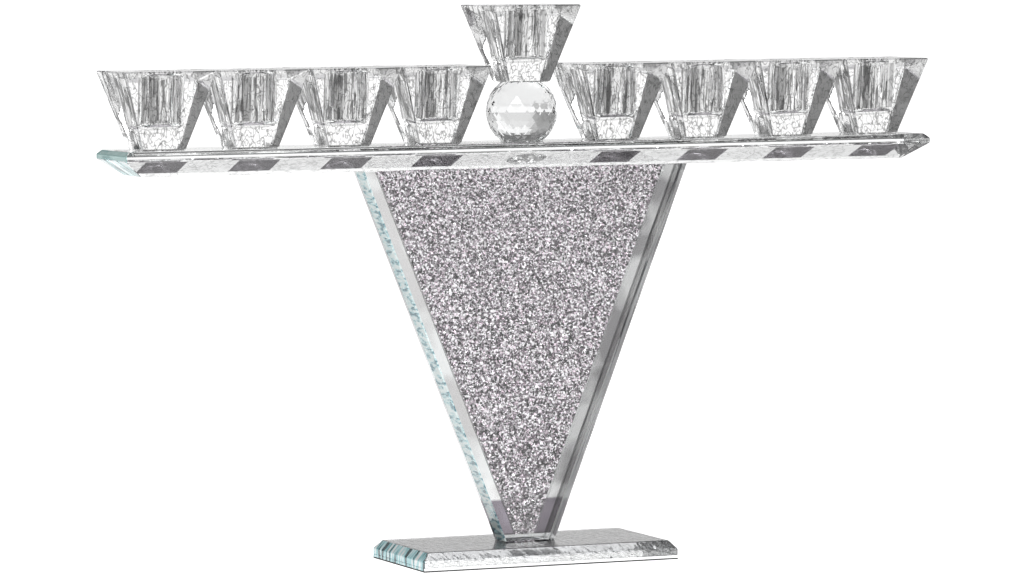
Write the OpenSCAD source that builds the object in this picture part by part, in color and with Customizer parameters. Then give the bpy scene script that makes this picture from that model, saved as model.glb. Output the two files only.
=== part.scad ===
// Nine-light crystal candelabrum: a bevelled base, a wedge-shaped stem with a
// crushed-crystal inlay, a long bevelled bar, eight cups in a row and a raised
// ninth cup on a faceted ball. All pieces are bonded face to face.
// Millimetres, +Z up. The origin is the centre of the underside.
// X runs along the bar, and the front faces -Y.

/* [Base] */
// Width of the base, left to right
base_w = 113; // [90:1:150]
// Depth of the base, front to back
base_d = 60; // [50:1:80]
// Thickness of the clear base slab
base_glass_t = 6.2; // [5.5:0.1:12]
// Width of the slope round the top of the base slab
base_bevel_w = 3; // [1:0.5:6]
// Height of the slope round the top of the base slab
base_bevel_h = 3.4; // [1:0.1:4.5]
// Thickness of the dark sheet under the base
base_backing_t = 0.6; // [0.4:0.1:2]
// Width of the mirror border round the crystal under the base slab
base_border_w = 5.5; // [2:0.5:12]

/* [Stem] */
// Height of the stem
stem_h = 156; // [110:1:200]
// Width of the stem where it meets the bar
stem_top_w = 145; // [110:1:180]
// Width of the stem where it meets the base
stem_foot_w = 22; // [19:1:40]
// Thickness of the clear front slab of the stem
stem_glass_t = 10; // [6:0.5:14]
// Thickness of the mirrored panel behind the stem
stem_back_t = 1; // [0.8:0.1:3]
// Width of each mirror strip beside the crystal inlay
stem_margin_w = 8; // [3:0.1:9]
// Height of the mirror strip below the crystal inlay
stem_foot_margin = 2.6; // [1:0.1:8]
// Thickness of every crushed-crystal and mirror layer
inlay_t = 1; // [0.6:0.1:2]

/* [Bar] */
// Length of the bar
bar_l = 357; // [340:1:400]
// Depth of the bar, front to back
bar_d = 40; // [38:1:50]
// Thickness of the bar
bar_t = 10.5; // [9.5:0.5:16]
// Width of the wide slope round the underside
bar_under_w = 9; // [4:0.5:12]
// Height of the wide slope round the underside
bar_under_h = 6.5; // [3:0.5:7]
// Width of the narrow slope round the top
bar_top_w = 2; // [0.5:0.5:4]
// Height of the narrow slope round the top
bar_top_h = 1.8; // [0.4:0.2:2]

/* [Cups] */
// Spacing of the cups, which leaves a free place under the raised cup
cup_pitch = 39.75; // [39.5:0.05:40]
// Width across a cup's square rim
cup_rim_w = 39; // [36:0.5:39.5]
// Width across a cup's square foot
cup_foot_w = 18.5; // [16:0.5:24]
// Height of a cup
cup_h = 32; // [28:1:40]
// Diameter of the candle bore
bore_d = 19; // [12:0.5:20]
// Depth of the candle bore
bore_depth = 22; // [12:1:24]

/* [Ball] */
// Diameter of the faceted ball
ball_d = 30; // [24:1:36]
// Facets round the ball
ball_facets = 18; // [12:1:24]
// Bands of facets from the middle of the ball to each flat
ball_bands = 4; // [3:1:5]
// Latitude of the ground flats, in degrees
ball_flat_lat = 55.4; // [50:0.1:62]

/* [Hidden] */
$fn = 96;

// Cups in each half of the row
cups_per_side = 4;

// Heights of the layers, from the floor up
base_inlay_z = base_backing_t;
base_glass_z = base_inlay_z + inlay_t;
stem_z = base_glass_z + base_glass_t;
bar_z = stem_z + stem_h;
bar_top_z = bar_z + bar_t;
ball_flat_h = ball_d / 2 * sin(ball_flat_lat);
ball_z = bar_top_z + ball_flat_h;
shamash_z = ball_z + ball_flat_h;

// Depths of the stem's layers, from the front face back
stem_t = stem_glass_t + inlay_t + stem_back_t;
stem_front_y = -stem_t / 2;
stem_inlay_y = stem_front_y + stem_glass_t;
stem_back_y = stem_inlay_y + inlay_t;

// How much the stem's half width grows with each millimetre of height
stem_slope = (stem_top_w - stem_foot_w) / 2 / stem_h;

clear = [0.86, 0.94, 0.95];
crushed = [0.72, 0.69, 0.72];
silvered = [0.80, 0.82, 0.84];
backing = [0.20, 0.20, 0.22];

// A solid whose front view is front_outline and whose side view is
// side_outline, so its slopes meet in mitred corners
module crossed(front_outline, side_outline, length, depth) {
  intersection() {
    rotate([90, 0, 0])
      linear_extrude(depth, center = true)
        polygon(front_outline);
    rotate([90, 0, 90])
      linear_extrude(length, center = true)
        polygon(side_outline);
  }
}

// Outline of a symmetric slab from [half width, height] pairs, bottom to top
function both_sides(half) =
  concat(half, [for (i = [len(half) - 1 : -1 : 0]) [-half[i][0], half[i][1]]]);

// Half outlines of the base slab, the bar and a cup
function base_half(w) =
  [[w / 2, 0], [w / 2, base_glass_t - base_bevel_h], [w / 2 - base_bevel_w, base_glass_t]];
function bar_half(w) =
  [[w / 2 - bar_under_w, 0], [w / 2, bar_under_h],
   [w / 2, bar_t - bar_top_h], [w / 2 - bar_top_w, bar_t]];
cup_half = [[cup_foot_w / 2, 0], [cup_rim_w / 2, cup_h]];

// Half width of the stem at a height above its foot
function stem_half(z) = stem_foot_w / 2 + stem_slope * z;

// A layer of the stem: an upright outline given a thickness from front_y back
module stem_layer(front_y, thickness) {
  translate([0, front_y + thickness, stem_z])
    rotate([90, 0, 0])
      linear_extrude(thickness)
        children();
}

// The stem's outline between two heights, narrowed by margin on each side
module stem_outline(z0, z1, margin) {
  polygon([[-stem_half(z0) + margin, z0], [stem_half(z0) - margin, z0],
           [stem_half(z1) - margin, z1], [-stem_half(z1) + margin, z1]]);
}

module base_backing() {
  color(backing)
    translate([-base_w / 2, -base_d / 2, 0])
      cube([base_w, base_d, base_backing_t]);
}

module base_inlay_block(thickness) {
  inner_w = base_w - 2 * base_border_w;
  inner_d = base_d - 2 * base_border_w;
  translate([-inner_w / 2, -inner_d / 2, 0])
    cube([inner_w, inner_d, thickness]);
}

module base_crystal_inlay() {
  color(crushed)
    translate([0, 0, base_inlay_z])
      base_inlay_block(inlay_t);
}

module base_mirror_border() {
  color(silvered)
    translate([0, 0, base_inlay_z])
      difference() {
        translate([-base_w / 2, -base_d / 2, 0])
          cube([base_w, base_d, inlay_t]);
        translate([0, 0, -1])
          base_inlay_block(inlay_t + 2);
      }
}

module base_glass() {
  color(clear)
    translate([0, 0, base_glass_z])
      crossed(both_sides(base_half(base_w)), both_sides(base_half(base_d)), base_w, base_d);
}

module stem_back_panel() {
  color(silvered)
    stem_layer(stem_back_y, stem_back_t)
      stem_outline(0, stem_h, 0);
}

module stem_crystal_inlay() {
  color(crushed)
    stem_layer(stem_inlay_y, inlay_t)
      stem_outline(stem_foot_margin, stem_h, stem_margin_w);
}

// One mirror strip beside the inlay: side is -1 for the left and 1 for the right
module stem_mirror_strip(side) {
  z0 = stem_foot_margin;
  color(silvered)
    stem_layer(stem_inlay_y, inlay_t)
      polygon([[side * (stem_half(z0) - stem_margin_w), z0], [side * stem_half(z0), z0],
               [side * stem_half(stem_h), stem_h],
               [side * (stem_half(stem_h) - stem_margin_w), stem_h]]);
}

module stem_mirror_foot() {
  color(silvered)
    stem_layer(stem_inlay_y, inlay_t)
      stem_outline(0, stem_foot_margin, 0);
}

module stem_glass() {
  color(clear)
    stem_layer(stem_front_y, stem_glass_t)
      stem_outline(0, stem_h, 0);
}

module top_bar() {
  color(clear)
    translate([0, 0, bar_z])
      crossed(both_sides(bar_half(bar_l)), both_sides(bar_half(bar_d)), bar_l, bar_d);
}

// Corner i of facet ring k, where ring 0 is the lower flat's edge. Every
// second ring is turned by half a facet.
function ring_lat(k) = ball_flat_lat * (k / ball_bands - 1);
function ball_corner(k, i) =
  let (turn = (i + ((k + ball_bands) % 2) / 2) * 360 / ball_facets)
  ball_d / 2 * [cos(ring_lat(k)) * cos(turn), cos(ring_lat(k)) * sin(turn), sin(ring_lat(k))];

// The two triangles between corner i and the next one in the band above ring k
function band_faces(k, i) =
  let (n = ball_facets, j = (i + 1) % n, low = k * n, high = low + n)
  (k + ball_bands) % 2 == 0
    ? [[low + i, high + i, low + j], [low + j, high + i, high + j]]
    : [[low + i, high + i, high + j], [low + i, high + j, low + j]];

module shamash_ball() {
  n = ball_facets;
  last = 2 * ball_bands;
  corners = [for (k = [0 : last]) for (i = [0 : n - 1]) ball_corner(k, i)];
  bands = [for (k = [0 : last - 1]) for (i = [0 : n - 1]) each band_faces(k, i)];
  lower_flat = [for (i = [0 : n - 1]) i];
  upper_flat = [for (i = [n - 1 : -1 : 0]) last * n + i];
  color(clear)
    translate([0, 0, ball_z])
      polyhedron(corners, concat(bands, [lower_flat, upper_flat]));
}

// A solid cup with a blind candle bore, standing on its foot at the origin
module cup() {
  color(clear)
    difference() {
      crossed(both_sides(cup_half), both_sides(cup_half), cup_rim_w, cup_rim_w);
      translate([0, 0, cup_h - bore_depth])
        cylinder(h = bore_depth + 1, d = bore_d);
    }
}

module shamash_cup() {
  translate([0, 0, shamash_z])
    cup();
}

// Place of a row cup: 1 is at the left end, and the middle place stays free
function cup_x(i) = (i - cups_per_side - (i > cups_per_side ? 0 : 1)) * cup_pitch;

module row_cup(i) {
  translate([cup_x(i), 0, bar_top_z])
    cup();
}

base_backing();
base_crystal_inlay();
base_mirror_border();
base_glass();
stem_back_panel();
stem_crystal_inlay();
stem_mirror_strip(-1);  // stem_mirror_left
stem_mirror_strip(1);  // stem_mirror_right
stem_mirror_foot();
stem_glass();
top_bar();
shamash_ball();
shamash_cup();
for (i = [1 : 2 * cups_per_side]) {
  row_cup(i);
}
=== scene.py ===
import math
import random

import bmesh
import bpy
from mathutils import Matrix, Vector
from mathutils.geometry import delaunay_2d_cdt


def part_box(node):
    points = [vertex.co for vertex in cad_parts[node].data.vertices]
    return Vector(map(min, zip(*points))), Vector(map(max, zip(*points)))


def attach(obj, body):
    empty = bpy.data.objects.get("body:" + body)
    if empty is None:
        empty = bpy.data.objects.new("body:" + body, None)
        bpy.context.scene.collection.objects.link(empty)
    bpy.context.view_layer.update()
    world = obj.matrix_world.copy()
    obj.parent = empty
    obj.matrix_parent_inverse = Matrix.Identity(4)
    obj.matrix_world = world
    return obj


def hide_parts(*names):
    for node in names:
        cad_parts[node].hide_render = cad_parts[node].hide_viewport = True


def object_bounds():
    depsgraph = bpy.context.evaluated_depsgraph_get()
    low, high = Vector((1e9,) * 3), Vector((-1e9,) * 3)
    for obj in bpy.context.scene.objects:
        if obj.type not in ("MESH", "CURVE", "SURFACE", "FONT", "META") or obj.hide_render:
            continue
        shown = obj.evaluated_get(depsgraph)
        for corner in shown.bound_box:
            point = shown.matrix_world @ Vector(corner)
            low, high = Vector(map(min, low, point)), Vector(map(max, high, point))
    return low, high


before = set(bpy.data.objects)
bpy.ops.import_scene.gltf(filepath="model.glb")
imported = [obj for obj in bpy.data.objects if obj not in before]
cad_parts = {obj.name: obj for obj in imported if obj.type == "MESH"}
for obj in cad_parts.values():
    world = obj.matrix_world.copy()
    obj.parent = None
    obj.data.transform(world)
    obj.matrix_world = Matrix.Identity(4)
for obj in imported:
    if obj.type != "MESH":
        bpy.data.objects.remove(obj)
cad_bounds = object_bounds()

MM = 0.001
CONTACT = 0.03 * MM      # how far bonded glass reaches into its neighbour, so that no air gap shows
SAME_POINT = 1e-7        # points closer than this are one, in metres
BODY = "root"


# ---------------------------------------------------------------- materials

def new_material(name):
    """A material with a Principled shader, and its node tree."""
    mat = bpy.data.materials.new(name)
    mat.use_nodes = True
    tree = mat.node_tree
    return mat, tree, tree.nodes["Principled BSDF"]


EVEN = (1.0, 1.0, 1.0)
GLASS_IOR = 1.52


def noise(tree, scale, detail=3.0, roughness=0.5, stretch=EVEN):
    """Noise over the object's own coordinates, of scale cycles per metre, stretched along X, Y and Z."""
    coords = tree.nodes.new("ShaderNodeTexCoord")
    tex = tree.nodes.new("ShaderNodeTexNoise")
    tex.inputs["Scale"].default_value = scale
    tex.inputs["Detail"].default_value = detail
    tex.inputs["Roughness"].default_value = roughness
    squeeze = tree.nodes.new("ShaderNodeMapping")
    squeeze.inputs["Scale"].default_value = [1.0 / s for s in stretch]
    tree.links.new(coords.outputs["Object"], squeeze.inputs["Vector"])
    tree.links.new(squeeze.outputs["Vector"], tex.inputs["Vector"])
    return tex.outputs["Fac"]


def ramp(tree, source, stops):
    """A colour ramp over source, from (position, value or colour) stops."""
    node = tree.nodes.new("ShaderNodeValToRGB")
    elements = node.color_ramp.elements
    while len(elements) < len(stops):
        elements.new(0.5)
    for element, (position, value) in zip(elements, stops):
        rgb = value if isinstance(value, tuple) else (value,) * 3
        element.position = position
        element.color = (*rgb, 1.0)
    tree.links.new(source, node.inputs["Fac"])
    return node.outputs["Color"]


def bump(tree, shader, source, strength, distance):
    """Feeds source into the shader's normal as a bump of distance metres."""
    node = tree.nodes.new("ShaderNodeBump")
    node.inputs["Strength"].default_value = strength
    node.inputs["Distance"].default_value = distance
    tree.links.new(source, node.inputs["Height"])
    tree.links.new(node.outputs["Normal"], shader.inputs["Normal"])


def glass_material(name, tint=None, lines=None, waves=(140.0, 0.12, 0.05), drawn=EVEN, ior=GLASS_IOR):
    """Polished clear glass with faint wipe marks and waviness.

    The light that passes the surface takes an even tint, or painted streaks of light and shade given as
    cycles per metre and a ramp's stops. waves holds the waviness as cycles per metre, bump strength and bump
    height in mm.
    drawn stretches the waves and the lines.
    """
    mat, tree, shader = new_material(name)
    if tint is not None:
        shader.inputs["Base Color"].default_value = (*tint, 1.0)
    if lines is not None:
        # The lines are painted streaks of light and shade in the tint of the light that passes.
        painted_streaks = ramp(tree, noise(tree, lines[0], detail=1.0, stretch=drawn), lines[1])
        tree.links.new(painted_streaks, shader.inputs["Base Color"])
    shader.inputs["Transmission Weight"].default_value = 1.0
    shader.inputs["IOR"].default_value = ior
    marks = noise(tree, 55.0, detail=5.0, roughness=0.6)
    gloss = ramp(tree, marks, [(0.45, 0.0), (0.8, 0.035)])
    tree.links.new(gloss, shader.inputs["Roughness"])
    bump(tree, shader, noise(tree, waves[0], detail=1.0, stretch=drawn), waves[1], waves[2] * MM)
    return mat


def cut_edge_material(name, shades, scale, drawn, clear):
    """A cut edge: glass that is clear in part, with painted lines of light and shade drawn across the edge.
    """
    mat, tree, shader = new_material(name)
    shade = ramp(tree, noise(tree, scale, detail=2.0, stretch=drawn), shades)
    tree.links.new(shade, shader.inputs["Base Color"])
    shader.inputs["Transmission Weight"].default_value = clear
    shader.inputs["IOR"].default_value = GLASS_IOR
    shader.inputs["Roughness"].default_value = 0.06
    bump(tree, shader, noise(tree, scale, detail=2.0, stretch=drawn), 0.4, 0.08 * MM)
    return mat


def mirror_material(name, dull, bright, painted_shade_below=None, haze=(0.02, 0.10)):
    """Silvered glass, dull and bright in patches, with painted shade below the height painted_shade_below if
    one is given.
    """
    mat, tree, shader = new_material(name)
    shader.inputs["Metallic"].default_value = 1.0
    silver = ramp(tree, noise(tree, 45.0, detail=2.0), [(0.42, dull), (0.56, bright)])
    # Painted shade: the silver turns dark below the given height.
    if painted_shade_below is not None:
        coords = tree.nodes.new("ShaderNodeTexCoord")
        split = tree.nodes.new("ShaderNodeSeparateXYZ")
        tree.links.new(coords.outputs["Object"], split.inputs["Vector"])
        # The height is scaled so that painted_shade_below falls in the middle of the ramp.
        scaled = tree.nodes.new("ShaderNodeMath")
        scaled.operation = "MULTIPLY"
        scaled.inputs[1].default_value = 0.5 / painted_shade_below
        tree.links.new(split.outputs["Z"], scaled.inputs[0])
        shade = ramp(tree, scaled.outputs["Value"], [(0.49, (0.27, 0.24, 0.28)), (0.51, 1.0)])
        both = tree.nodes.new("ShaderNodeMixRGB")
        both.blend_type = "MULTIPLY"
        both.inputs["Fac"].default_value = 1.0
        tree.links.new(silver, both.inputs["Color1"])
        tree.links.new(shade, both.inputs["Color2"])
        silver = both.outputs["Color"]
    tree.links.new(silver, shader.inputs["Base Color"])
    gloss = ramp(tree, noise(tree, 160.0, detail=5.0), [(0.35, haze[0]), (0.8, haze[1])])
    tree.links.new(gloss, shader.inputs["Roughness"])
    return mat


def crushed_material(name, silvered):
    """Silvered crystal chips. Each chip's own tone comes from the mesh's chip_tone colours."""
    mat, tree, shader = new_material(name)
    tone = tree.nodes.new("ShaderNodeVertexColor")
    tone.layer_name = "chip_tone"
    tree.links.new(tone.outputs["Color"], shader.inputs["Base Color"])
    shader.inputs["Metallic"].default_value = silvered
    grain = noise(tree, 900.0, detail=2.0)
    tree.links.new(ramp(tree, grain, [(0.3, 0.10), (0.75, 0.34)]), shader.inputs["Roughness"])
    bump(tree, shader, noise(tree, 1400.0, detail=1.0), 0.25, 0.05 * MM)
    return mat


def backing_material(name):
    """Matt dark sheet with a fine pressed grain."""
    mat, tree, shader = new_material(name)
    grain = noise(tree, 1600.0, detail=4.0, roughness=0.7)
    tree.links.new(ramp(tree, grain, [(0.3, 0.018), (0.7, 0.05)]), shader.inputs["Base Color"])
    tree.links.new(ramp(tree, grain, [(0.3, 0.7), (0.7, 0.95)]), shader.inputs["Roughness"])
    bump(tree, shader, grain, 0.4, 0.1 * MM)
    return mat


FLOOR_HALF = 30.0
FLOOR_SPAN = 4.0      # how far the changes in the floor's brightness may reach, in metres


def floor_material(name):
    """Plain pale studio floor that glows.

    It glows white where the camera sees it. In the glass the glow is mostly less bright, in smooth steps of
    painted light and painted shade.
    """
    mat, tree, shader = new_material(name)
    shader.inputs["Roughness"].default_value = 0.9
    shader.inputs["Specular IOR Level"].default_value = 0.1
    pale = ramp(tree, noise(tree, 2.0), [(0.3, 0.88), (0.7, 0.90)])
    tree.links.new(pale, shader.inputs["Base Color"])
    shader.inputs["Emission Color"].default_value = (1.0, 1.0, 1.0, 1.0)
    rays = tree.nodes.new("ShaderNodeLightPath")
    coords = tree.nodes.new("ShaderNodeTexCoord")

    def reach(centre, stops):
        """A ramp over the distance from a point on the floor, in metres."""
        span = tree.nodes.new("ShaderNodeVectorMath")
        span.operation = "DISTANCE"
        span.inputs[1].default_value = centre
        tree.links.new(coords.outputs["Object"], span.inputs[0])
        scaled = tree.nodes.new("ShaderNodeMath")
        scaled.operation = "DIVIDE"
        scaled.inputs[1].default_value = FLOOR_SPAN
        tree.links.new(span.outputs["Value"], scaled.inputs[0])
        return ramp(tree, scaled.outputs["Value"], [(metres / FLOOR_SPAN, value) for metres, value in stops])

    # A painted pool of light round the object's left front, and painted shade over a stretch well behind it.
    painted_light_pool = reach((-0.12, -0.06, 0.0), [(0.10, 1.1), (0.24, 1.0), (0.40, 0.62), (1.2, 0.62), (2.2, 0.85)])
    painted_shade_behind = reach((-0.30, 1.50, 0.0), [(0.55, 0.35), (0.80, 1.0)])
    painted_floor_glow = tree.nodes.new("ShaderNodeMixRGB")
    painted_floor_glow.blend_type = "MULTIPLY"
    painted_floor_glow.inputs["Fac"].default_value = 1.0
    tree.links.new(painted_light_pool, painted_floor_glow.inputs["Color1"])
    tree.links.new(painted_shade_behind, painted_floor_glow.inputs["Color2"])
    glow = tree.nodes.new("ShaderNodeMixRGB")
    tree.links.new(rays.outputs["Is Camera Ray"], glow.inputs["Fac"])
    tree.links.new(painted_floor_glow.outputs["Color"], glow.inputs["Color1"])
    glow.inputs["Color2"].default_value = (1.0, 1.0, 1.0, 1.0)
    tree.links.new(glow.outputs["Color"], shader.inputs["Emission Strength"])
    return mat


# The cups' glass carries painted streaks of light and shade in the tint of the light that passes: thin dark
# lines on the front and back, grey streaks on the rims, dark streaks on the bores, and light and dark
# streaks on the left faces.
CRYSTAL = glass_material(
    "crystal_glass", waves=(420.0, 0.5, 0.05), drawn=(1.0, 1.0, 2.0),
    lines=(420.0, [(0.455, 0.96), (0.482, 0.16), (0.498, 0.16), (0.525, 0.96)]))
CRYSTAL_RIM = glass_material(
    "crystal_rim_glass", waves=(500.0, 0.9, 0.16), lines=(500.0, [(0.43, 0.50), (0.50, 1.0)]))
# The cups' right faces take a grey tint, which is painted shade on that side.
CRYSTAL_FAR_PAINTED_SHADE = glass_material(
    "crystal_far_glass_painted_shade", tint=(0.90, 0.90, 0.90), waves=(900.0, 1.0, 0.06), drawn=(1.0, 1.0, 2.0))
CRYSTAL_BORE = glass_material(
    "crystal_bore_glass", waves=(500.0, 0.8, 0.07), drawn=(1.0, 1.0, 10.0),
    lines=(800.0, [(0.405, 0.06), (0.44, 0.95), (0.60, 1.0)]))
# The cups' chamfers take a dark grey tint, which is painted shade.
CRYSTAL_EDGE_PAINTED_SHADE = glass_material("crystal_ground_edge_painted_shade", tint=(0.42, 0.42, 0.43))
CRYSTAL_SIDE = glass_material(
    "crystal_side_glass", waves=(420.0, 0.6, 0.08), drawn=(1.0, 1.0, 7.0),
    lines=(420.0, [(0.42, 0.10), (0.46, 0.84), (0.55, 0.96)]))
BALL_CRYSTAL = glass_material("ball_crystal_glass", tint=(0.90, 0.905, 0.905))
PLATE = glass_material("plate_glass", tint=(0.99, 1.0, 1.0))
BASE_PLATE = glass_material(
    "base_plate_glass", tint=(0.98, 0.99, 0.99), waves=(420.0, 0.9, 0.16), drawn=(1.0, 6.0, 1.0))
# The base's top face carries painted grey streaks of shade in the tint of the light that passes.
BASE_TOP = glass_material(
    "base_top_glass", waves=(650.0, 1.0, 0.34), drawn=(1.0, 5.0, 1.0),
    lines=(650.0, [(0.44, 0.40), (0.49, 1.0)]))
# The bar's front under-bevel carries painted grey streaks of shade in the tint of the light that passes.
BAR_BEVEL = glass_material(
    "bar_bevel_glass", waves=(700.0, 0.5, 0.04), drawn=(3.0, 3.0, 1.0),
    lines=(900.0, [(0.43, 0.99), (0.47, 0.42), (0.50, 0.42), (0.54, 0.99)]))
RESIN = glass_material("clear_resin", tint=(0.97, 0.97, 0.98), ior=1.40)
# A film that bends no light, under each cup's foot. Its grey tint is painted shade.
BOND_PAINTED_SHADE = glass_material("cup_bond_painted_shade", tint=(0.42, 0.40, 0.43), waves=(200.0, 0.1, 0.02), ior=1.0)
# The stem's left edge: teal of the glass seen edge-on, with painted highlight lines and painted shade.
STEM_EDGE = cut_edge_material(
    "stem_cut_edge_painted_light",
    [(0.40, (0.12, 0.26, 0.31)), (0.45, (0.46, 0.74, 0.78)), (0.56, (0.82, 0.93, 0.92))],
    scale=620.0, drawn=(1.0, 4.0, 1.0), clear=0.45)
# The stem's right edge: painted shade with painted highlight lines.
STEM_FAR_EDGE = cut_edge_material(
    "stem_far_cut_edge_painted_light",
    [(0.37, (0.10, 0.10, 0.11)), (0.42, (0.72, 0.72, 0.73)), (0.52, (1.0, 1.0, 1.0))],
    scale=330.0, drawn=(12.0, 1.0, 12.0), clear=0.3)
# The base's left end and its frame: teal of the glass seen edge-on, with painted highlight lines and painted
# shade.
BASE_EDGE = cut_edge_material(
    "base_cut_edge_painted_light",
    [(0.41, (0.02, 0.06, 0.07)), (0.46, (0.24, 0.54, 0.58)), (0.54, (0.50, 0.84, 0.88)),
     (0.60, (1.0, 1.0, 1.0))],
    scale=400.0, drawn=(6.0, 1.0, 6.0), clear=0.3)
# The base's right end: painted shade, dark grey with a few paler lines.
BASE_FAR_EDGE = cut_edge_material(
    "base_far_cut_edge_painted_shade",
    [(0.40, (0.02, 0.02, 0.03)), (0.50, (0.10, 0.10, 0.12)), (0.60, (0.60, 0.60, 0.62))],
    scale=380.0, drawn=EVEN, clear=0.2)
# The bar's left end: teal of the glass seen edge-on, darkened with painted shade.
BAR_EDGE = cut_edge_material(
    "bar_cut_edge_painted_shade",
    [(0.38, (0.05, 0.19, 0.19)), (0.50, (0.12, 0.36, 0.35)), (0.62, (0.40, 0.64, 0.62))],
    scale=160.0, drawn=(3.0, 3.0, 1.0), clear=0.3)
# The bar's left under-bevel: painted highlight lines and painted shade on teal glass.
BAR_UNDER_EDGE = cut_edge_material(
    "bar_under_cut_edge_painted_light",
    [(0.38, (0.05, 0.08, 0.09)), (0.43, (0.42, 0.74, 0.75)), (0.56, (0.95, 0.96, 0.97))],
    scale=230.0, drawn=(6.0, 1.0, 6.0), clear=0.4)
# The bar's right end: painted shade, dark grey with a few paler lines.
BAR_FAR_EDGE = cut_edge_material(
    "bar_far_cut_edge_painted_shade",
    [(0.40, (0.08, 0.08, 0.09)), (0.50, (0.26, 0.26, 0.27)), (0.60, (0.70, 0.70, 0.70))],
    scale=300.0, drawn=EVEN, clear=0.2)
# The stem's side strips are darker copies of the mirror silver, which is painted shade: the right strip much
# darker than the left, and both darker again below a set height.
STRIP_PAINTED_SHADE_BELOW = 25.0 * MM      # the height below which the stem's side strips are darker
MIRROR = mirror_material("mirror_silver", (0.84, 0.84, 0.85), (0.94, 0.95, 0.95))
STRIP_LEFT = mirror_material("stem_left_silver_painted_shade", (0.60, 0.59, 0.59), (0.82, 0.83, 0.83),
                             STRIP_PAINTED_SHADE_BELOW)
STRIP_RIGHT = mirror_material("stem_right_silver_painted_shade", (0.24, 0.235, 0.24), (0.52, 0.52, 0.52),
                              STRIP_PAINTED_SHADE_BELOW)
BACK_SILVER = mirror_material("stem_back_silver", (0.42, 0.42, 0.43), (0.52, 0.52, 0.53), haze=(0.22, 0.34))
CRUSHED = crushed_material("crushed_crystal", 0.85)
CRUSHED_PAINTED_LIGHT = crushed_material("crushed_crystal_painted_light", 0.1)
BACKING = backing_material("dark_backing")
FLOOR = floor_material("floor")


# ---------------------------------------------------------------- mesh helpers

def piece(name, bm, material, node, round_angle=None):
    """Turns bm into a named piece that stands for a CAD node, hides that node and takes the given material.
    """
    bmesh.ops.remove_doubles(bm, verts=bm.verts, dist=SAME_POINT)
    bmesh.ops.recalc_face_normals(bm, faces=bm.faces)
    mesh = bpy.data.meshes.new(name)
    bm.to_mesh(mesh)
    bm.free()
    mesh.materials.append(material)
    if round_angle is not None:
        mesh.polygons.foreach_set("use_smooth", [True] * len(mesh.polygons))
        mesh.set_sharp_from_angle(angle=math.radians(round_angle))
    obj = bpy.data.objects.new(name, mesh)
    bpy.context.scene.collection.objects.link(obj)
    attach(obj, BODY)
    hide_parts(node)
    return obj


def refinish(obj, material, wanted):
    """Gives another material to the faces that are wanted."""
    obj.data.materials.append(material)
    for face in obj.data.polygons:
        if wanted(face):
            face.material_index = len(obj.data.materials) - 1


def add_ring(bm, points):
    return [bm.verts.new(p) for p in points]


def bridge(bm, lower, upper):
    """Quads between two rings with the same number of corners."""
    count = len(lower)
    for i in range(count):
        j = (i + 1) % count
        bm.faces.new((lower[i], lower[j], upper[j], upper[i]))


def loft(rings):
    """A closed solid through the rings, with a flat face on the first and the last."""
    bm = bmesh.new()
    loops = [add_ring(bm, ring) for ring in rings]
    for lower, upper in zip(loops, loops[1:]):
        bridge(bm, lower, upper)
    bm.faces.new(loops[0][::-1])
    bm.faces.new(loops[-1])
    return bm


def rectangle(centre, half_w, half_d, z):
    x, y = centre
    return [(x + sx * half_w, y + sy * half_d, z) for sx, sy in ((-1, -1), (1, -1), (1, 1), (-1, 1))]


def grind(bm, width):
    """Grinds every edge to a narrow chamfer."""
    bmesh.ops.bevel(bm, geom=bm.edges[:], offset=width, segments=1, affect="EDGES", clamp_overlap=True)


def box_sizes(node):
    """Centre and size of a CAD node, in metres."""
    lo, hi = (Vector(c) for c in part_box(node))
    return (lo + hi) / 2, hi - lo


# ---------------------------------------------------------------- base

BASE_BEVEL_W = 3.0 * MM
BASE_BEVEL_H = 3.4 * MM
BASE_GROUND = 0.3 * MM
BACKING_GROUND = 0.12 * MM
RESIN_LIFT = 0.05 * MM       # the resin stops this far above the inlay's underside
FRAME_INSET = 0.05 * MM      # the mirror frame stops this far inside the glass
FRAME_SLOPE_W = 1.4 * MM
FRAME_SLOPE_H = 0.3 * MM


def make_base_backing():
    mid, size = box_sizes("base_backing")
    z0 = mid.z - size.z / 2
    rings = [rectangle(mid.xy, size.x / 2, size.y / 2, z0 + k * size.z) for k in (0, 1)]
    bm = loft(rings)
    grind(bm, BACKING_GROUND)
    piece("base_backing_sheet", bm, BACKING, "base_backing")


def make_base_glass():
    mid, size = box_sizes("base_glass")
    half_w, half_d = size.x / 2, size.y / 2
    z0, z1 = mid.z - size.z / 2, mid.z + size.z / 2
    bm = loft([
        rectangle(mid.xy, half_w, half_d, z0),
        rectangle(mid.xy, half_w, half_d, z1 - BASE_BEVEL_H),
        rectangle(mid.xy, half_w - BASE_BEVEL_W, half_d - BASE_BEVEL_W, z1),
    ])
    grind(bm, BASE_GROUND)
    slab = piece("base_glass_slab", bm, BASE_PLATE, "base_glass")
    refinish(slab, BASE_TOP, lambda face: face.normal.z > 0.95)
    refinish(slab, BASE_EDGE, lambda face: face.normal.x < -0.5)
    refinish(slab, BASE_FAR_EDGE, lambda face: face.normal.x > 0.5)


def make_base_resin():
    """Clear resin that holds the crystals against the slab."""
    mid, size = box_sizes("base_crystal_inlay")
    z0, z1 = mid.z - size.z / 2 + RESIN_LIFT, mid.z + size.z / 2 + CONTACT
    bm = loft([rectangle(mid.xy, size.x / 2, size.y / 2, z) for z in (z0, z1)])
    piece("base_crystal_resin", bm, RESIN, "base_crystal_inlay")


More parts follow.
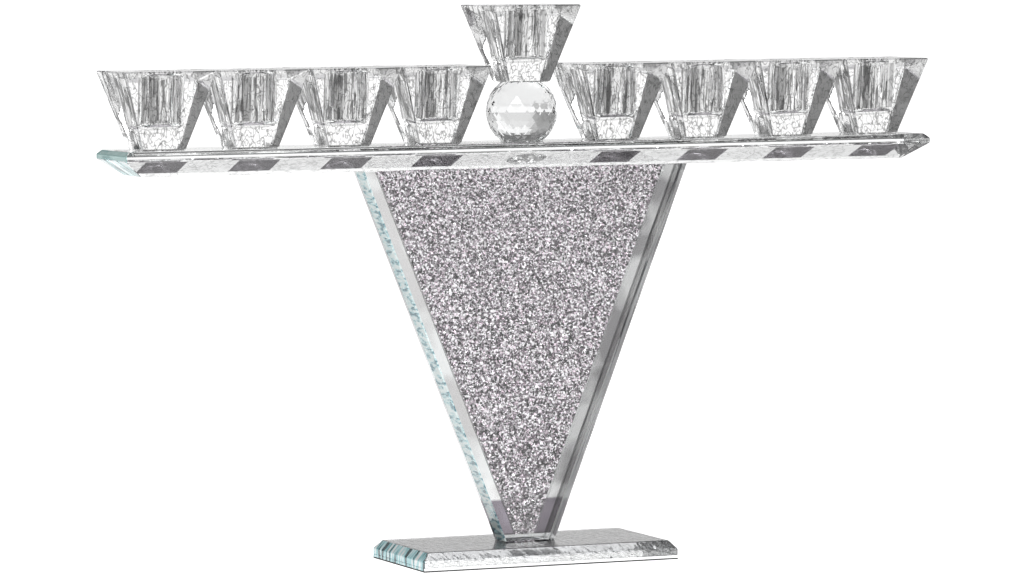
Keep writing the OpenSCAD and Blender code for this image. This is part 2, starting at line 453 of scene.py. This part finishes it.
def make_base_mirror():
    """A mirror frame whose inner edge slopes down to the crushed crystal."""
    mid, size = box_sizes("base_mirror_border")
    inner = box_sizes("base_crystal_inlay")[1]
    z0, z1 = mid.z - size.z / 2, mid.z + size.z / 2
    half_w, half_d = size.x / 2 - FRAME_INSET, size.y / 2 - FRAME_INSET
    bm = bmesh.new()
    rings = [add_ring(bm, ring) for ring in (
        rectangle(mid.xy, half_w, half_d, z0),
        rectangle(mid.xy, half_w, half_d, z1 + CONTACT),
        rectangle(mid.xy, inner.x / 2 + FRAME_SLOPE_W, inner.y / 2 + FRAME_SLOPE_W, z1 + CONTACT),
        rectangle(mid.xy, inner.x / 2, inner.y / 2, z1 - FRAME_SLOPE_H),
        rectangle(mid.xy, inner.x / 2, inner.y / 2, z0),
    )]
    for lower, upper in zip(rings, rings[1:] + rings[:1]):
        bridge(bm, lower, upper)
    border = piece("base_mirror_frame", bm, MIRROR, "base_mirror_border")
    refinish(border, BASE_EDGE, lambda face: face.normal.x < -0.5)


# ---------------------------------------------------------------- stem

STEM_GLASS_GROUND = 0.5 * MM
STEM_BACK_GROUND = 0.2 * MM
STEM_FOOT_GROUND = 0.1 * MM
STEM_MARGIN = 8.0 * MM       # how wide the silver strips beside the crushed crystal are
MIRROR_SLOPE_W = 0.8 * MM
MIRROR_SLOPE_T = 0.35 * MM


def stem_outline(node, z0, z1, inset=0.0):
    """The stem's half width at two heights, from the front slab's own corners."""
    corners = [v.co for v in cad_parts[node].data.vertices]
    low, high = min(c.z for c in corners), max(c.z for c in corners)
    half_low = max(c.x for c in corners if c.z < low + 0.1 * MM)
    half_high = max(c.x for c in corners if c.z > high - 0.1 * MM)

    def half(z):
        return half_low + (half_high - half_low) * (z - low) / (high - low) - inset

    return [(-half(z0), z0), (half(z0), z0), (half(z1), z1), (-half(z1), z1)]


def upright_slab(outline, y0, y1):
    return loft([[(x, y, z) for x, z in outline] for y in (y0, y1)])


def make_stem_glass():
    mid, size = box_sizes("stem_glass")
    z0, z1 = mid.z - size.z / 2 - CONTACT, mid.z + size.z / 2 + CONTACT
    y0, y1 = mid.y - size.y / 2, mid.y + size.y / 2
    bm = upright_slab(stem_outline("stem_glass", z0, z1), y0, y1)
    grind(bm, STEM_GLASS_GROUND)
    slab = piece("stem_glass_slab", bm, PLATE, "stem_glass")
    refinish(slab, STEM_EDGE, lambda face: face.normal.x < -0.5)
    refinish(slab, STEM_FAR_EDGE, lambda face: face.normal.x > 0.5)


def make_stem_back():
    mid, size = box_sizes("stem_back_panel")
    z0, z1 = mid.z - size.z / 2, mid.z + size.z / 2
    y0, y1 = mid.y - size.y / 2, mid.y + size.y / 2
    bm = upright_slab(stem_outline("stem_glass", z0, z1), y0, y1)
    grind(bm, STEM_BACK_GROUND)
    piece("stem_back_mirror", bm, BACK_SILVER, "stem_back_panel")


def make_stem_strip(side, node, silver):
    """A mirror strip with a sloped inner edge, set against the slab's back face."""
    mid, size = box_sizes(node)
    y0, y1 = mid.y - size.y / 2 - CONTACT, mid.y + size.y / 2
    z0, z1 = mid.z - size.z / 2, mid.z + size.z / 2
    outer = stem_outline("stem_glass", z0, z1)
    (low_x, _), (high_x, _) = outer[1], outer[2]

    def ring(x, z):
        inner = x - STEM_MARGIN
        profile = [(x, y0), (inner + MIRROR_SLOPE_W, y0), (inner, y0 + MIRROR_SLOPE_T), (inner, y1), (x, y1)]
        return [(side * px, py, z) for px, py in profile]

    bm = loft([ring(low_x, z0), ring(high_x, z1)])
    piece(node + "_strip", bm, silver, node)


def make_stem_foot_strip():
    mid, size = box_sizes("stem_mirror_foot")
    y0, y1 = mid.y - size.y / 2 - CONTACT, mid.y + size.y / 2
    z0, z1 = mid.z - size.z / 2, mid.z + size.z / 2
    bm = upright_slab(stem_outline("stem_glass", z0, z1), y0, y1)
    grind(bm, STEM_FOOT_GROUND)
    piece("stem_mirror_foot_strip", bm, MIRROR, "stem_mirror_foot")


# ---------------------------------------------------------------- crushed crystal

# Each tone with its weight: the bright chips, the grey ones, the painted shade of the gaps and the pink
# ones.
CHIP_TONES = (
    ((0.95, 0.91, 0.94), 10),
    ((0.55, 0.50, 0.54), 3),
    ((0.25, 0.20, 0.24), 4),
    ((0.03, 0.03, 0.03), 7),
    ((0.85, 0.72, 0.80), 3),
)
CHIP_MARGIN = 0.5 * MM      # how far the middle of a chip stays from the bed's edge


def pick_tone(rng, paler):
    """A chip's tone, picked by weight, varied a little and moved towards white by paler, as painted light.
    """
    tones, weights = zip(*CHIP_TONES)
    tone = rng.choices(tones, weights)[0]
    level = rng.uniform(0.85, 1.08)
    return tuple(min(1.0, c * level) * (1 - paler) + paler for c in tone) + (1.0,)


def inside(point, outline, margin):
    """True if a point lies inside a convex anticlockwise outline, at least margin from its edges."""
    for a, b in zip(outline, outline[1:] + outline[:1]):
        edge = b - a
        if edge.cross(point - a) < margin * edge.length:
            return False
    return True


ROW_PITCH = 0.87      # the distance between staggered rows, as a share of the spacing
JITTER = 0.32         # how far a point may leave its place, as a share of the spacing


def bed_points(outline, spacing, rng):
    """Jittered staggered points that fill an outline, after evenly spaced points along its edges."""
    points = []
    for a, b in zip(outline, outline[1:] + outline[:1]):
        steps = max(1, round((b - a).length / spacing))
        points += [a.lerp(b, i / steps) for i in range(steps)]
    rim = len(points)
    lo_u, hi_u = min(p.x for p in outline), max(p.x for p in outline)
    lo_v, hi_v = min(p.y for p in outline), max(p.y for p in outline)
    rows = int((hi_v - lo_v) / (spacing * ROW_PITCH))
    columns = int((hi_u - lo_u) / spacing)
    for row in range(rows + 1):
        for column in range(columns + 1):
            u = lo_u + (column + 0.5 * (row % 2)) * spacing + rng.uniform(-JITTER, JITTER) * spacing
            v = lo_v + row * spacing * ROW_PITCH + rng.uniform(-JITTER, JITTER) * spacing
            point = Vector((u, v))
            if inside(point, outline, 0.45 * spacing):
                points.append(point)
    return points, rim


def paint(face, tone_layer, tone):
    for loop in face.loops:
        loop[tone_layer] = tone


def add_relief(bm, tone_layer, outline, place, thickness, rng, spacing, paler):
    """A faceted relief over an outline, closed by an even back at the full thickness."""
    points, rim = bed_points(outline, spacing, rng)
    rim_edges = [(i, (i + 1) % rim) for i in range(rim)]
    verts, _, faces, *_ = delaunay_2d_cdt(points, rim_edges, [], 1, SAME_POINT)
    depths = [rng.uniform(0.15, 0.8) * thickness for _ in verts]
    top = [bm.verts.new(place(v.x, v.y, d)) for v, d in zip(verts, depths)]
    for face in faces:
        paint(bm.faces.new([top[i] for i in face]), tone_layer, pick_tone(rng, paler))
    under = [bm.verts.new(place(verts[i].x, verts[i].y, thickness)) for i in range(rim)]
    bridge(bm, under, top[:rim])
    bm.faces.new(under)


CHIP_RING = 4


def chip_points(rng, spacing):
    """The corners of one loose chip around its middle: two ends, then a ring between them."""
    turn = Matrix.Rotation(rng.uniform(0, math.tau), 3, "Z")
    turn @= Matrix.Rotation(math.acos(rng.uniform(-1, 1)), 3, "X")
    turn @= Matrix.Rotation(rng.uniform(0, math.tau), 3, "Z")
    reach = rng.uniform(0.42, 0.78) * spacing
    ends = [turn @ Vector((rng.uniform(-0.2, 0.2) * reach, 0, s * reach)) for s in (-1, 1)]
    ring = []
    for k in range(CHIP_RING):
        angle = (k + rng.uniform(-0.3, 0.3)) * math.tau / CHIP_RING
        radius = rng.uniform(0.3, 0.62) * reach
        ring.append(turn @ Vector((radius * math.cos(angle), radius * math.sin(angle),
                                   rng.uniform(-0.3, 0.3) * reach)))
    return ends + ring


def add_chip(bm, tone_layer, outline, place, thickness, rng, spacing, paler):
    """One loose chip somewhere in the outline, pressed flat enough to stay inside the bed."""
    while True:
        u = rng.uniform(min(p.x for p in outline), max(p.x for p in outline))
        v = rng.uniform(min(p.y for p in outline), max(p.y for p in outline))
        if inside(Vector((u, v)), outline, CHIP_MARGIN):
            break
    solid = chip_points(rng, spacing)
    low, high = min(p.z for p in solid), max(p.z for p in solid)
    squeeze = min(1.0, 0.62 * thickness / (high - low))
    sink = rng.uniform(0.06, 0.3) * thickness
    corners = [bm.verts.new(place(u + p.x, v + p.y, sink + (p.z - low) * squeeze)) for p in solid]
    tone = pick_tone(rng, paler)
    for k in range(CHIP_RING):
        a, b = corners[2 + k], corners[2 + (k + 1) % CHIP_RING]
        paint(bm.faces.new((corners[0], b, a)), tone_layer, tone)
        paint(bm.faces.new((corners[1], a, b)), tone_layer, tone)


def make_crushed(name, material, node, outline, place, thickness, rng, spacing, chips, paler=0.0):
    """A bed of crushed crystal in an outline: a faceted relief with loose chips set in it.

    place turns (u, v, depth) into a point, where depth runs from 0 at the glass to thickness.
    spacing is the size of the relief's facets, and paler moves the chips' tones towards white as painted
    light.
    """
    bm = bmesh.new()
    tone_layer = bm.loops.layers.float_color.new("chip_tone")
    outline = [Vector(p) for p in outline]
    add_relief(bm, tone_layer, outline, place, thickness, rng, spacing, paler)
    for _ in range(chips):
        add_chip(bm, tone_layer, outline, place, thickness, rng, spacing, paler)
    piece(name, bm, material, node)


def make_stem_crystal():
    mid, size = box_sizes("stem_crystal_inlay")
    z0, z1 = mid.z - size.z / 2, mid.z + size.z / 2
    outline = stem_outline("stem_glass", z0, z1, STEM_MARGIN)
    front = mid.y - size.y / 2
    make_crushed("stem_crushed_crystal", CRUSHED, "stem_crystal_inlay", outline,
                 lambda u, v, d: (u, front + d, v), size.y, random.Random(11), 0.9 * MM, 9000)


def make_base_crystal():
    mid, size = box_sizes("base_crystal_inlay")
    outline = [p[:2] for p in rectangle(mid.xy, size.x / 2, size.y / 2, 0)]
    top = mid.z + size.z / 2
    # The base's chips are made paler: painted light on the bed under the glass.
    make_crushed("base_crushed_crystal", CRUSHED_PAINTED_LIGHT, "base_crystal_inlay", outline,
                 lambda u, v, d: (u, v, top - d), size.z, random.Random(12), 2.2 * MM, 900, paler=0.45)


# ---------------------------------------------------------------- bar

BAR_UNDER_W = 9.0 * MM
BAR_UNDER_H = 6.5 * MM
BAR_TOP_W = 2.0 * MM
BAR_TOP_H = 1.8 * MM
BAR_GROUND = 0.25 * MM


def make_bar():
    mid, size = box_sizes("top_bar")
    half_w, half_d = size.x / 2, size.y / 2
    z0, z1 = mid.z - size.z / 2, mid.z + size.z / 2
    bm = loft([
        rectangle(mid.xy, half_w - BAR_UNDER_W, half_d - BAR_UNDER_W, z0),
        rectangle(mid.xy, half_w, half_d, z0 + BAR_UNDER_H),
        rectangle(mid.xy, half_w, half_d, z1 - BAR_TOP_H),
        rectangle(mid.xy, half_w - BAR_TOP_W, half_d - BAR_TOP_W, z1),
    ])
    grind(bm, BAR_GROUND)
    slab = piece("top_bar_glass", bm, PLATE, "top_bar")
    refinish(slab, BAR_BEVEL, lambda face: face.normal.y < -0.3 and face.normal.z < -0.3)
    refinish(slab, BAR_FAR_EDGE, lambda face: face.normal.x > 0.5)
    refinish(slab, BAR_EDGE, lambda face: face.normal.x < -0.5 and face.normal.z > -0.3)
    refinish(slab, BAR_UNDER_EDGE, lambda face: face.normal.x < -0.5 and face.normal.z <= -0.3)


# ---------------------------------------------------------------- ball

BALL_FACETS = 18
BALL_BANDS = 4
BALL_FLAT_LAT = 55.4


def make_ball():
    """A ball cut with staggered triangular facets between two ground flats."""
    mid, size = box_sizes("shamash_ball")
    radius = size.x / 2
    stretch = (size.z / 2 + CONTACT) / (size.z / 2)
    rings = []
    for k in range(2 * BALL_BANDS + 1):
        lat = math.radians(BALL_FLAT_LAT * (k / BALL_BANDS - 1))
        half_turn = (k + BALL_BANDS) % 2 / 2
        ring = []
        for i in range(BALL_FACETS):
            turn = (i + half_turn) * math.tau / BALL_FACETS
            out = math.cos(lat)
            ring.append(mid + radius * Vector((out * math.cos(turn), out * math.sin(turn),
                                               math.sin(lat) * stretch)))
        rings.append(ring)
    bm = bmesh.new()
    loops = [add_ring(bm, ring) for ring in rings]
    for k, (low, high) in enumerate(zip(loops, loops[1:])):
        for i in range(BALL_FACETS):
            j = (i + 1) % BALL_FACETS
            if (k + BALL_BANDS) % 2 == 0:
                bm.faces.new((low[i], low[j], high[i]))
                bm.faces.new((low[j], high[j], high[i]))
            else:
                bm.faces.new((low[i], high[j], high[i]))
                bm.faces.new((low[i], low[j], high[j]))
    bm.faces.new(loops[0][::-1])
    bm.faces.new(loops[-1])
    piece("shamash_ball_cut", bm, BALL_CRYSTAL, "shamash_ball")


# ---------------------------------------------------------------- cups

CUP_FOOT_HALF = 9.25 * MM
BORE_R = 9.5 * MM
BORE_DEPTH = 22.0 * MM
BORE_ROUND = 2.0 * MM
MOUTH_ROUND = 0.8 * MM
CUP_EDGE = 0.5 * MM
SIDE_POINTS = 16
MOUTH_STEPS = 4
BOTTOM_STEPS = 6
OFF_BORE = 0.5 * MM      # faces at least this far outside the bore's radius belong to the cup's sides


def square_ring(centre, half, chamfer, z):
    """A square with narrow chamfered corners, with SIDE_POINTS points on each side."""
    points = []
    reach = half - chamfer
    for side in range(4):
        turn = side * math.pi / 2
        for k in range(SIDE_POINTS):
            along = -reach + 2 * reach * k / (SIDE_POINTS - 1)
            x = along * math.cos(turn) + half * math.sin(turn)
            y = along * math.sin(turn) - half * math.cos(turn)
            points.append((centre.x + x, centre.y + y, z))
    return points


def circle_ring(centre, radius, z):
    """A circle whose points line up with those of square_ring."""
    count = 4 * SIDE_POINTS
    start = -math.radians(135)
    return [
        (centre.x + radius * math.cos(start + (i + 0.5) * math.tau / count),
         centre.y + radius * math.sin(start + (i + 0.5) * math.tau / count), z)
        for i in range(count)
    ]


def make_cup(node, sink):
    """A solid square cup with ground edges and a polished round-bottomed bore; sink lowers its foot."""
    mid, size = box_sizes(node)
    z0, z1 = mid.z - size.z / 2, mid.z + size.z / 2
    rim_half = size.x / 2
    slope = (rim_half - CUP_FOOT_HALF) / size.z
    rings = [
        square_ring(mid, CUP_FOOT_HALF - CUP_EDGE, CUP_EDGE, z0 - sink),
        square_ring(mid, CUP_FOOT_HALF + slope * CUP_EDGE, CUP_EDGE, z0 + CUP_EDGE),
        square_ring(mid, rim_half - slope * CUP_EDGE, CUP_EDGE, z1 - CUP_EDGE),
        square_ring(mid, rim_half - CUP_EDGE, CUP_EDGE, z1),
    ]
    for k in range(MOUTH_STEPS):
        turn = math.radians(90 * k / (MOUTH_STEPS - 1))
        rings.append(circle_ring(mid, BORE_R + MOUTH_ROUND * (1 - math.sin(turn)),
                                 z1 - MOUTH_ROUND * (1 - math.cos(turn))))
    floor_z = z1 - BORE_DEPTH
    for k in range(BOTTOM_STEPS):
        turn = math.radians(90 * k / (BOTTOM_STEPS - 1))
        rings.append(circle_ring(mid, BORE_R - BORE_ROUND * (1 - math.cos(turn)),
                                 floor_z + BORE_ROUND * (1 - math.sin(turn))))
    bm = loft(rings)
    cup = piece(node + "_crystal", bm, CRYSTAL, node, round_angle=24)

    def across(face):
        """How far a face is from the cup's axis."""
        return math.hypot(face.center.x - mid.x, face.center.y - mid.y)

    def on_rim(face):
        return face.normal.z > 0.95 and face.center.z > z1 - CUP_EDGE

    def on_bore_wall(face):
        return abs(face.normal.z) < 0.3 and across(face) < BORE_R

    def on_left(face):
        return face.normal.x < -0.5 and across(face) > BORE_R + OFF_BORE

    def on_right(face):
        return face.normal.x > 0.5 and across(face) > BORE_R + OFF_BORE

    def on_ground_edge(face):
        corner = abs(abs(face.normal.x) - abs(face.normal.y)) < 0.1 and abs(face.normal.z) < 0.9
        sloped = 0.3 < face.normal.z < 0.95
        return across(face) > BORE_R and (corner or sloped) and face.center.z > z0 + CUP_EDGE

    refinish(cup, CRYSTAL_RIM, on_rim)
    refinish(cup, CRYSTAL_BORE, on_bore_wall)
    refinish(cup, CRYSTAL_FAR_PAINTED_SHADE, on_right)
    refinish(cup, CRYSTAL_SIDE, on_left)
    refinish(cup, CRYSTAL_EDGE_PAINTED_SHADE, on_ground_edge)


BOND_INSET = 0.4 * MM
BOND_DEPTHS = (0.09 * MM, 0.05 * MM)      # the film's lower and upper face, below the bar's top


def make_bond(node):
    """The film that holds a cup's foot, sunk in the bar's top face, with a grey tint that is painted shade.
    """
    mid, size = box_sizes(node)
    foot = mid.z - size.z / 2
    half = CUP_FOOT_HALF - BOND_INSET
    bm = loft([rectangle(mid.xy, half, half, foot - depth) for depth in BOND_DEPTHS])
    piece(node + "_bond", bm, BOND_PAINTED_SHADE, node)


# ---------------------------------------------------------------- assembly

make_base_backing()
make_base_crystal()
make_base_resin()
make_base_mirror()
make_base_glass()
make_stem_back()
make_stem_crystal()
make_stem_strip(-1, "stem_mirror_left", STRIP_LEFT)
make_stem_strip(1, "stem_mirror_right", STRIP_RIGHT)
make_stem_foot_strip()
make_stem_glass()
make_bar()
make_ball()
make_cup("shamash_cup", 0.0)
for cup_number in range(1, 9):
    make_cup(f"cup_{cup_number}", CONTACT)
    make_bond(f"cup_{cup_number}")


# ---------------------------------------------------------------- floor, light and camera

def make_floor():
    bm = bmesh.new()
    bm.faces.new(add_ring(bm, rectangle((0, 0), FLOOR_HALF, FLOOR_HALF, 0.0)))
    mesh = bpy.data.meshes.new("floor")
    bm.to_mesh(mesh)
    bm.free()
    mesh.materials.append(FLOOR)
    obj = bpy.data.objects.new("floor", mesh)
    bpy.context.scene.collection.objects.link(obj)


CEILING_LEVEL = 0.19
UPPER_FRONT_LEVEL = 0.16


def make_world():
    """A soft studio dome of bright and dim panels without any pattern, under a dim ceiling.

    The panel behind the object is bright and its neighbours are dimmer, so the glass gets dark edges.
    Seen directly, the dome is plain and white.
    """
    world = bpy.data.worlds.new("studio")
    bpy.context.scene.world = world
    world.use_nodes = True
    tree = world.node_tree
    coords = tree.nodes.new("ShaderNodeTexCoord")
    split = tree.nodes.new("ShaderNodeSeparateXYZ")
    tree.links.new(coords.outputs["Generated"], split.inputs["Vector"])
    high = split.outputs["Z"]
    compass = tree.nodes.new("ShaderNodeTexGradient")
    compass.gradient_type = "RADIAL"
    tree.links.new(coords.outputs["Generated"], compass.inputs["Vector"])
    turn = compass.outputs["Fac"]      # 0 and 1 at the left, 0.25 at the front, 0.5 right, 0.75 at the back

    def mixed(fac, first, second, mode="MIX"):
        node = tree.nodes.new("ShaderNodeMixRGB")
        node.blend_type = mode
        for socket, value in zip(("Fac", "Color1", "Color2"), (fac, first, second)):
            if isinstance(value, float):
                node.inputs[socket].default_value = value if socket == "Fac" else (value,) * 3 + (1.0,)
            else:
                tree.links.new(value, node.inputs[socket])
        return node.outputs["Color"]

    panels = ramp(tree, turn, [
        (0.00, 0.80), (0.05, 0.95), (0.20, 1.05), (0.30, 1.00), (0.42, 0.95), (0.44, 0.80), (0.585, 0.80),
        (0.600, 1.60), (0.610, 1.60), (0.628, 1.15), (0.715, 1.15), (0.740, 0.45), (0.940, 0.40),
        (0.965, 0.75), (1.00, 0.75),
    ])
    horizon = ramp(tree, high, [(0.11, 0.68), (0.15, 0.72), (0.23, 0.72), (0.28, 0.94)])
    behind = mixed(1.0, panels, horizon, "MULTIPLY")
    rear = ramp(tree, turn, [(0.40, 0.0), (0.43, 1.0)])
    wall = mixed(rear, panels, behind)
    above = ramp(tree, high, [(0.42, 0.0), (0.50, 1.0)])
    dome = mixed(above, wall, CEILING_LEVEL)
    front = ramp(tree, turn, [(0.07, 0.0), (0.10, 1.0), (0.40, 1.0), (0.43, 0.0)])
    raised = ramp(tree, high, [(0.28, 0.0), (0.36, 1.0)])
    dome = mixed(mixed(1.0, front, raised, "MULTIPLY"), dome, UPPER_FRONT_LEVEL)
    rays = tree.nodes.new("ShaderNodeLightPath")
    seen = mixed(rays.outputs["Is Camera Ray"], dome, 1.0)
    tree.links.new(seen, tree.nodes["Background"].inputs["Color"])
    tree.nodes["Background"].inputs["Strength"].default_value = 1.0


def make_area(name, location, size, power):
    light = bpy.data.lights.new(name, "AREA")
    light.shape = "SQUARE"
    light.size = size
    light.energy = power
    obj = bpy.data.objects.new(name, light)
    obj.location = location
    obj.rotation_mode = "QUATERNION"
    obj.rotation_quaternion = (-Vector(location)).to_track_quat("-Z", "Y")
    bpy.context.scene.collection.objects.link(obj)


IMAGE_W = 1024
SENSOR_W = 36.0
VIEW_AZIMUTH = -21.7
VIEW_ELEVATION = 3.7
VIEW_ROLL = 0.49
VIEW_DISTANCE = 2.3
FOCAL_IN_PIXELS = 5532
AIM_OFFSET = Vector((-4.9 * MM, 0.0, -2.0 * MM))


def make_camera():
    """A long lens from the left front, a little above the object."""
    lo, hi = (Vector(c) for c in cad_bounds)
    aim = (lo + hi) / 2 + AIM_OFFSET
    azimuth, elevation = math.radians(VIEW_AZIMUTH), math.radians(VIEW_ELEVATION)
    back = Vector((math.sin(azimuth) * math.cos(elevation), -math.cos(azimuth) * math.cos(elevation),
                   math.sin(elevation)))
    data = bpy.data.cameras.new("camera")
    data.sensor_width = SENSOR_W
    data.lens = FOCAL_IN_PIXELS / IMAGE_W * SENSOR_W
    data.clip_start = 0.05
    data.clip_end = 100.0
    camera = bpy.data.objects.new("camera", data)
    camera.location = aim + back * VIEW_DISTANCE
    camera.rotation_mode = "QUATERNION"
    roll = Matrix.Rotation(math.radians(-VIEW_ROLL), 3, "Z").to_quaternion()
    camera.rotation_quaternion = (-back).to_track_quat("-Z", "Y") @ roll
    bpy.context.scene.collection.objects.link(camera)
    bpy.context.scene.camera = camera


make_floor()
make_world()
make_area("key_light", (-1.2, -1.4, 1.8), 1.0, 18.0)
make_camera()

scene = bpy.context.scene
scene.view_settings.view_transform = "Standard"
scene.cycles.max_bounces = 32
scene.cycles.transmission_bounces = 32
scene.cycles.glossy_bounces = 12
scene.cycles.transparent_max_bounces = 16
